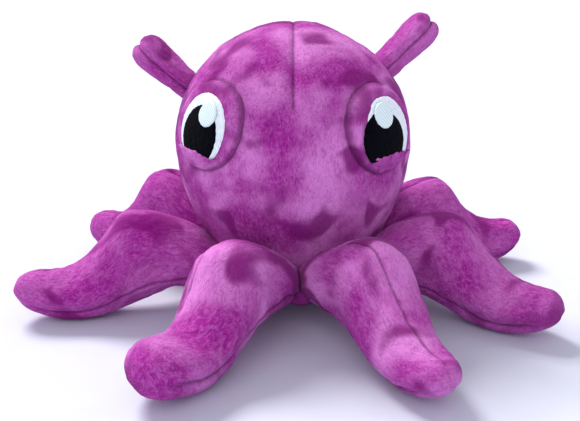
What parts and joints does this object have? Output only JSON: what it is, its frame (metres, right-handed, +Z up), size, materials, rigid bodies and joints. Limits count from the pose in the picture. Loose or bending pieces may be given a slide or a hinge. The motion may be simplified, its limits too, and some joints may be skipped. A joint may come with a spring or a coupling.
{
  "type": "octopus plush toy",
  "caption": "Stuffed octopus soft toy with a round head, ear-like fins, appliqued felt eyes and curved tentacles that lift at their sewn roots.",
  "frame": {"origin": "on the ground under the middle of the head", "axes": "+Z up, the face looks along -Y, +X is to the right of someone looking at the face"},
  "size_m": [0.3362, 0.3324, 0.1755],
  "materials": {
    "plush": "short brushed pile, magenta",
    "stuffing": "loose white fibre",
    "white_felt": "matt felt",
    "black_felt": "matt felt",
    "white_thread": "satin stitch",
    "thread": "waxed sewing thread"
  },
  "bodies": {
    "head": {"head_front_panel": "plush", "head_back_right_panel": "plush", "head_back_left_panel": "plush", "head_stuffing": "stuffing", "base_panel": "plush", "closing_stitches": "thread", "left_eye_mound": "plush", "left_eye_padding": "stuffing", "left_eye_white": "white_felt", "left_eye_pupil": "black_felt", "left_eye_highlight": "white_thread", "left_eye_lower_lid": "plush", "right_eye_mound": "plush", "right_eye_padding": "stuffing", "right_eye_white": "white_felt", "right_eye_pupil": "black_felt", "right_eye_highlight": "white_thread", "right_eye_lower_lid": "plush"},
    "front_left_tentacle": {"front_left_tentacle_left_panel": "plush", "front_left_tentacle_right_panel": "plush", "front_left_tentacle_underside_panel": "plush", "front_left_tentacle_stuffing": "stuffing"},
    "front_right_tentacle": {"front_right_tentacle_left_panel": "plush", "front_right_tentacle_right_panel": "plush", "front_right_tentacle_underside_panel": "plush", "front_right_tentacle_stuffing": "stuffing"},
    "fore_side_right_tentacle": {"fore_side_right_tentacle_left_panel": "plush", "fore_side_right_tentacle_right_panel": "plush", "fore_side_right_tentacle_underside_panel": "plush", "fore_side_right_tentacle_stuffing": "stuffing"},
    "rear_side_right_tentacle": {"rear_side_right_tentacle_left_panel": "plush", "rear_side_right_tentacle_right_panel": "plush", "rear_side_right_tentacle_underside_panel": "plush", "rear_side_right_tentacle_stuffing": "stuffing"},
    "back_right_tentacle": {"back_right_tentacle_left_panel": "plush", "back_right_tentacle_right_panel": "plush", "back_right_tentacle_underside_panel": "plush", "back_right_tentacle_stuffing": "stuffing"},
    "back_left_tentacle": {"back_left_tentacle_left_panel": "plush", "back_left_tentacle_right_panel": "plush", "back_left_tentacle_underside_panel": "plush", "back_left_tentacle_stuffing": "stuffing"},
    "rear_side_left_tentacle": {"rear_side_left_tentacle_left_panel": "plush", "rear_side_left_tentacle_right_panel": "plush", "rear_side_left_tentacle_underside_panel": "plush", "rear_side_left_tentacle_stuffing": "stuffing"},
    "fore_side_left_tentacle": {"fore_side_left_tentacle_left_panel": "plush", "fore_side_left_tentacle_right_panel": "plush", "fore_side_left_tentacle_underside_panel": "plush", "fore_side_left_tentacle_stuffing": "stuffing"},
    "left_fin": {"left_fin_upper_panel": "plush", "left_fin_lower_panel": "plush", "left_fin_stuffing": "stuffing"},
    "right_fin": {"right_fin_upper_panel": "plush", "right_fin_lower_panel": "plush", "right_fin_stuffing": "stuffing"}
  },
  "joints": [
    {"name": "front_left_tentacle_lift", "type": "hinge", "parent": "head", "child": "front_left_tentacle", "pos_m": [-0.01937, -0.05626, 0.048], "axis": [-0.9455, 0.3256, 0], "range_deg": [-15, 30], "stiffness_Nm_per_rad": 0.6},
    {"name": "front_right_tentacle_lift", "type": "hinge", "parent": "head", "child": "front_right_tentacle", "pos_m": [0.02561, -0.0537, 0.048], "axis": [-0.9026, -0.4305, 0], "range_deg": [-15, 30], "stiffness_Nm_per_rad": 0.6},
    {"name": "fore_side_right_tentacle_lift", "type": "hinge", "parent": "head", "child": "fore_side_right_tentacle", "pos_m": [0.05436, -0.0242, 0.048], "axis": [-0.4067, -0.9135, 0], "range_deg": [-15, 30], "stiffness_Nm_per_rad": 0.6},
    {"name": "rear_side_right_tentacle_lift", "type": "hinge", "parent": "head", "child": "rear_side_right_tentacle", "pos_m": [0.05573, 0.02084, 0.048], "axis": [0.3502, -0.9367, 0], "range_deg": [-15, 30], "stiffness_Nm_per_rad": 0.6},
    {"name": "back_right_tentacle_lift", "type": "hinge", "parent": "head", "child": "back_right_tentacle", "pos_m": [0.02373, 0.05457, 0.048], "axis": [0.9171, -0.3987, 0], "range_deg": [-15, 30], "stiffness_Nm_per_rad": 0.6},
    {"name": "back_left_tentacle_lift", "type": "hinge", "parent": "head", "child": "back_left_tentacle", "pos_m": [-0.02132, 0.05555, 0.048], "axis": [0.9336, 0.3584, 0], "range_deg": [-15, 30], "stiffness_Nm_per_rad": 0.6},
    {"name": "rear_side_left_tentacle_lift", "type": "hinge", "parent": "head", "child": "rear_side_left_tentacle", "pos_m": [-0.05414, 0.02467, 0.048], "axis": [0.4147, 0.91, 0], "range_deg": [-15, 30], "stiffness_Nm_per_rad": 0.6},
    {"name": "fore_side_left_tentacle_lift", "type": "hinge", "parent": "head", "child": "fore_side_left_tentacle", "pos_m": [-0.05517, -0.02229, 0.048], "axis": [-0.3746, 0.9272, 0], "range_deg": [-15, 30], "stiffness_Nm_per_rad": 0.6},
    {"name": "left_fin_flap", "type": "hinge", "parent": "head", "child": "left_fin", "pos_m": [-0.07468, 0.005, 0.14239], "axis": [0, 1, 0], "range_deg": [-30, 30], "stiffness_Nm_per_rad": 0.05},
    {"name": "right_fin_flap", "type": "hinge", "parent": "head", "child": "right_fin", "pos_m": [0.06574, 0.005, 0.15544], "axis": [0, -1, 0], "range_deg": [-30, 30], "stiffness_Nm_per_rad": 0.05}
  ]
}
